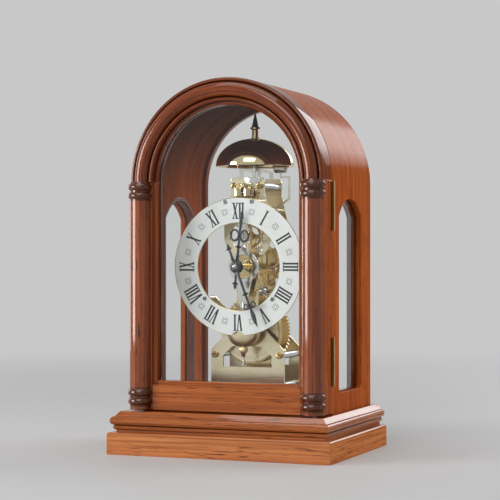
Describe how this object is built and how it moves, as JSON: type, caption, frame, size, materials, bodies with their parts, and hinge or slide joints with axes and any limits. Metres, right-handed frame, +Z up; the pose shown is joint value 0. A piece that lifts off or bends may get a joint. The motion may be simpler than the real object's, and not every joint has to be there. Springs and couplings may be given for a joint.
{
  "type": "mantel clock",
  "caption": "Arched wooden mantel clock with a glazed front door, columns, a skeleton movement, an open chapter ring, a short pendulum and a bell struck from inside.",
  "frame": {"origin": "middle of the underside of the base, on the table", "axes": "+X is the right of a person who faces the dial, +Y points to the back, +Z is up"},
  "size_m": [0.204, 0.157, 0.3236],
  "materials": {
    "lacquered_wood": "high gloss lacquer",
    "dark_wood": "high gloss lacquer",
    "glass": "clear",
    "brass": "polished",
    "steel": "turned",
    "nickel": "plated",
    "dial_white": "satin",
    "hand_black": "satin",
    "hammer_pale": "matte"
  },
  "bodies": {
    "case": {"plinth": "lacquered_wood", "base_moulding": "lacquered_wood", "case_shell": "lacquered_wood", "back_lip": "lacquered_wood", "side_panes": "glass", "side_beads": "lacquered_wood", "movement_seat": "dark_wood", "hinge_leaves_case": "brass", "front_plate": "brass", "back_plate": "brass", "pillars": "brass", "dial_bracket": "brass", "dial_posts": "brass", "chapter_ring": "dial_white", "suspension_cock": "brass", "plate_studs": "steel", "bell_bracket": "nickel", "bell": "brass", "bell_finial": "brass"},
    "door": {"door_stile_left": "lacquered_wood", "door_stile_right": "lacquered_wood", "door_rail": "lacquered_wood", "door_arch": "lacquered_wood", "columns": "dark_wood", "door_glass": "glass", "door_bead": "lacquered_wood", "hinge_leaves_door": "brass"},
    "centre": {"centre_arbor": "steel", "centre_wheel": "brass", "cannon_pinion": "steel", "minute_hand": "hand_black", "hand_nut": "steel"},
    "second": {"second_arbor": "steel", "second_wheel": "brass"},
    "barrel": {"barrel": "brass"},
    "third": {"third_arbor": "steel", "third_wheel": "brass"},
    "escape": {"escape_arbor": "steel", "escape_wheel": "brass"},
    "minute_work": {"minute_wheel": "brass"},
    "hour": {"hour_wheel": "brass", "hour_hand": "hand_black"},
    "winding": {"winding_arbor": "steel", "ratchet_wheel": "steel"},
    "click": {"click": "steel"},
    "anchor": {"anchor": "steel", "crutch": "steel"},
    "pendulum": {"suspension_spring": "steel", "pendulum_rod": "nickel"},
    "bob": {"bob": "brass"},
    "nut": {"rating_nut": "brass"},
    "hammer": {"hammer_arm": "steel", "hammer_head": "hammer_pale"}
  },
  "joints": [
    {"name": "door_swing", "type": "hinge", "parent": "case", "child": "door", "pos_m": [0.0902, -0.0339, 0.137], "axis": [0, 0, 1], "range_deg": [0, 110]},
    {"name": "centre_turn", "type": "hinge", "parent": "case", "child": "centre", "pos_m": [0, 0.0165, 0.1618], "axis": [0, 1, 0], "continuous": true},
    {"name": "second_turn", "type": "hinge", "parent": "case", "child": "second", "pos_m": [0.00589, 0.0165, 0.13983], "axis": [0, 1, 0], "continuous": true},
    {"name": "barrel_turn", "type": "hinge", "parent": "case", "child": "barrel", "pos_m": [0, 0.0165, 0.10431], "axis": [0, 1, 0], "continuous": true},
    {"name": "third_turn", "type": "hinge", "parent": "case", "child": "third", "pos_m": [0.01253, 0.0165, 0.17674], "axis": [0, 1, 0], "continuous": true},
    {"name": "escape_turn", "type": "hinge", "parent": "case", "child": "escape", "pos_m": [0, 0.0165, 0.18902], "axis": [0, 1, 0], "continuous": true},
    {"name": "minute_work_turn", "type": "hinge", "parent": "case", "child": "minute_work", "pos_m": [0, -0.009, 0.1468], "axis": [0, 1, 0], "continuous": true},
    {"name": "hour_turn", "type": "hinge", "parent": "case", "child": "hour", "pos_m": [0, -0.016, 0.1618], "axis": [0, 1, 0], "continuous": true},
    {"name": "winding_turn", "type": "hinge", "parent": "case", "child": "winding", "pos_m": [0, 0.0165, 0.10431], "axis": [0, 1, 0], "continuous": true},
    {"name": "click_lift", "type": "hinge", "parent": "case", "child": "click", "pos_m": [0.01785, 0.041, 0.09781], "axis": [0, 1, 0], "range_deg": [-8, 4], "stiffness_Nm_per_rad": 0.002, "springref_deg": -17.19},
    {"name": "pendulum_swing", "type": "hinge", "parent": "case", "child": "pendulum", "pos_m": [0, -0.015, 0.222], "axis": [0, 1, 0], "range_deg": [-3, 3]},
    {"name": "anchor_rock", "type": "hinge", "parent": "case", "child": "anchor", "pos_m": [0, 0.0165, 0.21169], "axis": [0, 1, 0], "range_deg": [-4.2, 4.2]},
    {"name": "bob_slide", "type": "slide", "parent": "pendulum", "child": "bob", "axis": [0, 0, 1], "range_m": [-0.002, 0.002]},
    {"name": "nut_turn", "type": "hinge", "parent": "bob", "child": "nut", "pos_m": [0, -0.015, 0.0872], "axis": [0, 0, 1], "range_deg": [-1450, 1450]},
    {"name": "hammer_swing", "type": "hinge", "parent": "case", "child": "hammer", "pos_m": [0.015, 0.0165, 0.212], "axis": [0, 1, 0], "range_deg": [-8, 4], "stiffness_Nm_per_rad": 0.02}
  ],
  "couplings": [
    {"joint": "second_turn", "follows": "centre_turn", "ratio": -0.16667},
    {"joint": "barrel_turn", "follows": "centre_turn", "ratio": 0.020833},
    {"joint": "third_turn", "follows": "centre_turn", "ratio": -12},
    {"joint": "escape_turn", "follows": "centre_turn", "ratio": 144},
    {"joint": "minute_work_turn", "follows": "centre_turn", "ratio": -0.33333},
    {"joint": "hour_turn", "follows": "centre_turn", "ratio": 0.083333},
    {"joint": "anchor_rock", "follows": "pendulum_swing", "ratio": 1.3473},
    {"joint": "nut_turn", "follows": "bob_slide", "rad_per_m": 12566}
  ]
}
